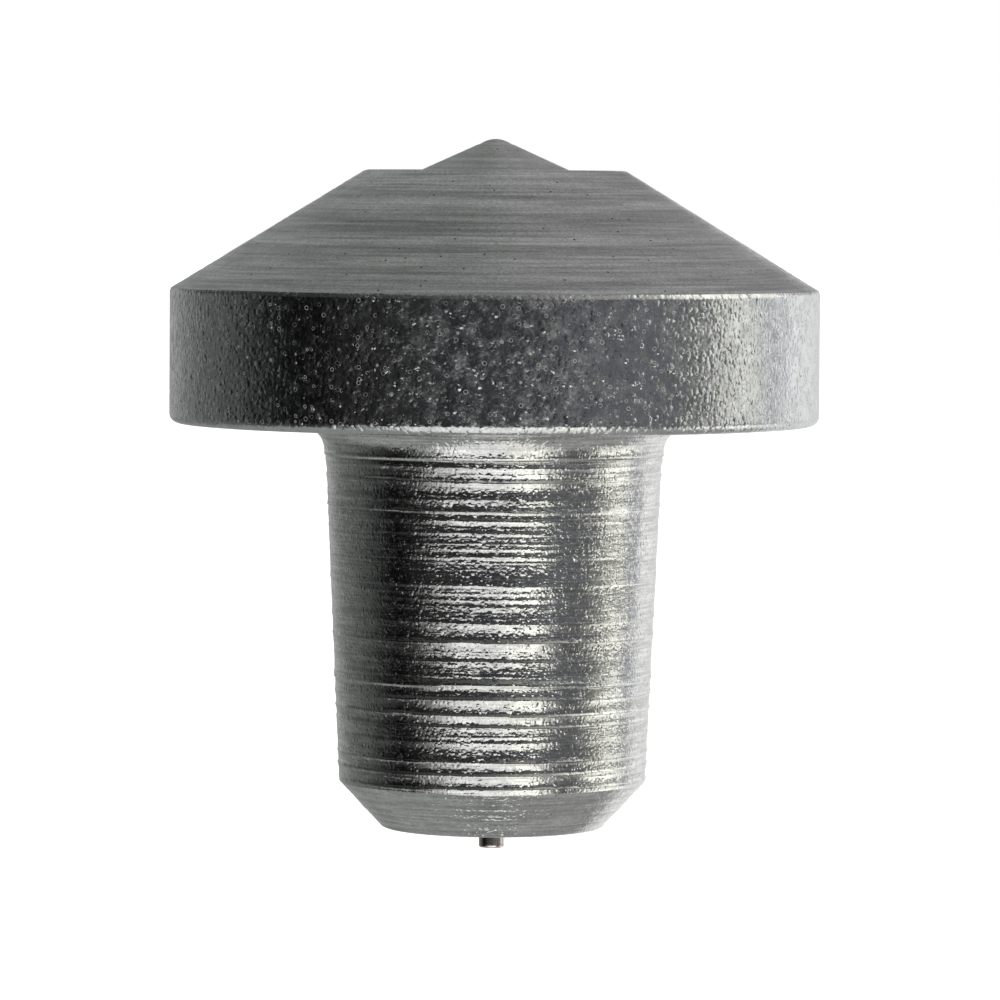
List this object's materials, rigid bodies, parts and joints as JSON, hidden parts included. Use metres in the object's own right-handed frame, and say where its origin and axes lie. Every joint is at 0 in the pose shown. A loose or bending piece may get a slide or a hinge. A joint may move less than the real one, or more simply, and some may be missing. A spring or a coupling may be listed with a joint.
{
  "type": "live center",
  "caption": "Short bull-nose live center: broad turning cone head with a small sprung pilot point on a stub taper arbor.",
  "frame": {"origin": "on the axis, in the gauge plane of the taper, where the shank is 18.00 mm across, 3.4 mm below the head", "axes": "+Z along the axis from the shank to the point; the head turns about Z, and X and Y are free"},
  "size_m": [0.035, 0.035, 0.0382],
  "materials": {
    "zinc_plated_steel": "turned, zinc plated, fine feed marks",
    "hardened_steel": "hardened, turned, matte",
    "polished_rod_steel": "drawn, polished",
    "bearing_steel": "ground",
    "polished_bearing_steel": "lapped, mirror bright",
    "pressed_cage_steel": "pressed sheet, satin",
    "shield_steel": "pressed sheet, satin",
    "spring_steel": "phosphated",
    "black_screw_steel": "blackened",
    "bronze": "sintered bronze",
    "brass_cage": "machined brass",
    "felt": "oiled wool felt"
  },
  "bodies": {
    "arbor": {"taper_shank": "zinc_plated_steel", "tail_bush": "bronze", "thrust_washer_lower": "bearing_steel", "bearing_inner_ring": "bearing_steel", "bearing_snap_ring": "spring_steel"},
    "head": {"bull_head": "zinc_plated_steel", "cover_ring": "zinc_plated_steel", "ring_lock_screw": "black_screw_steel", "felt_seal": "felt", "thrust_washer_upper": "bearing_steel", "bearing_outer_ring": "bearing_steel", "bearing_shield_lower": "shield_steel", "bearing_shield_upper": "shield_steel", "seat_snap_ring": "spring_steel", "spring_seat": "bearing_steel", "pilot_spring": "spring_steel"},
    "needle_set": {"thrust_needle_cage": "pressed_cage_steel", "thrust_needles": "polished_bearing_steel"},
    "ball_set": {"bearing_cage": "brass_cage", "bearing_balls": "polished_bearing_steel"},
    "pilot": {"pilot_point": "hardened_steel", "tail_pin": "polished_rod_steel"}
  },
  "joints": [
    {"name": "head_spin", "type": "hinge", "parent": "arbor", "child": "head", "pos_m": [0, 0, 0.0092], "axis": [0, 0, 1], "continuous": true},
    {"name": "pilot_slide", "type": "slide", "parent": "head", "child": "pilot", "axis": [0, 0, -1], "range_m": [0, 0.0016], "stiffness_N_per_m": 2000, "deforming": ["pilot_spring"]},
    {"name": "needle_set_spin", "type": "hinge", "parent": "arbor", "child": "needle_set", "pos_m": [0, 0, 0.0085], "axis": [0, 0, 1], "continuous": true},
    {"name": "ball_set_spin", "type": "hinge", "parent": "arbor", "child": "ball_set", "pos_m": [0, 0, 0.0092], "axis": [0, 0, 1], "continuous": true}
  ],
  "couplings": [
    {"joint": "needle_set_spin", "follows": "head_spin", "ratio": 0.5},
    {"joint": "ball_set_spin", "follows": "head_spin", "ratio": 0.58822}
  ]
}
